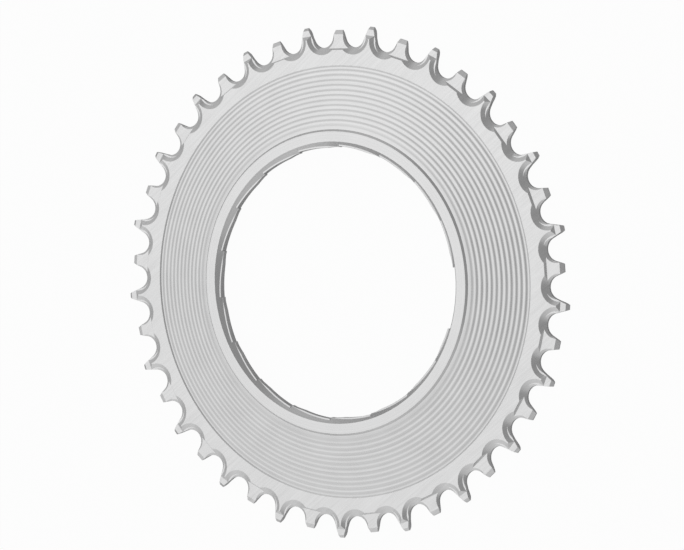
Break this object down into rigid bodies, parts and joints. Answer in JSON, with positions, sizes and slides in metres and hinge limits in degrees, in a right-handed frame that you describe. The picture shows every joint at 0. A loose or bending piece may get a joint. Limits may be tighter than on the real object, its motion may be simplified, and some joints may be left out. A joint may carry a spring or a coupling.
{
  "type": "bicycle chainring",
  "caption": "Narrow-wide bicycle chainring, a dished aluminium disc with turned ring grooves, alternating wide and narrow teeth and a wide threaded crank bore.",
  "frame": {"origin": "centre of the bore on the hub's front face, which seats on the crank", "axes": "+Z along the bore's axis, out of the front face; +X through the first wide tooth, to within two degrees"},
  "size_m": [0.1764, 0.1765, 0.0074],
  "materials": {
    "blasted_aluminium": "satin silver anodised over fine blasting, with turned and milled faces"
  },
  "bodies": {
    "root": {"chainring": "blasted_aluminium"}
  },
  "joints": []
}
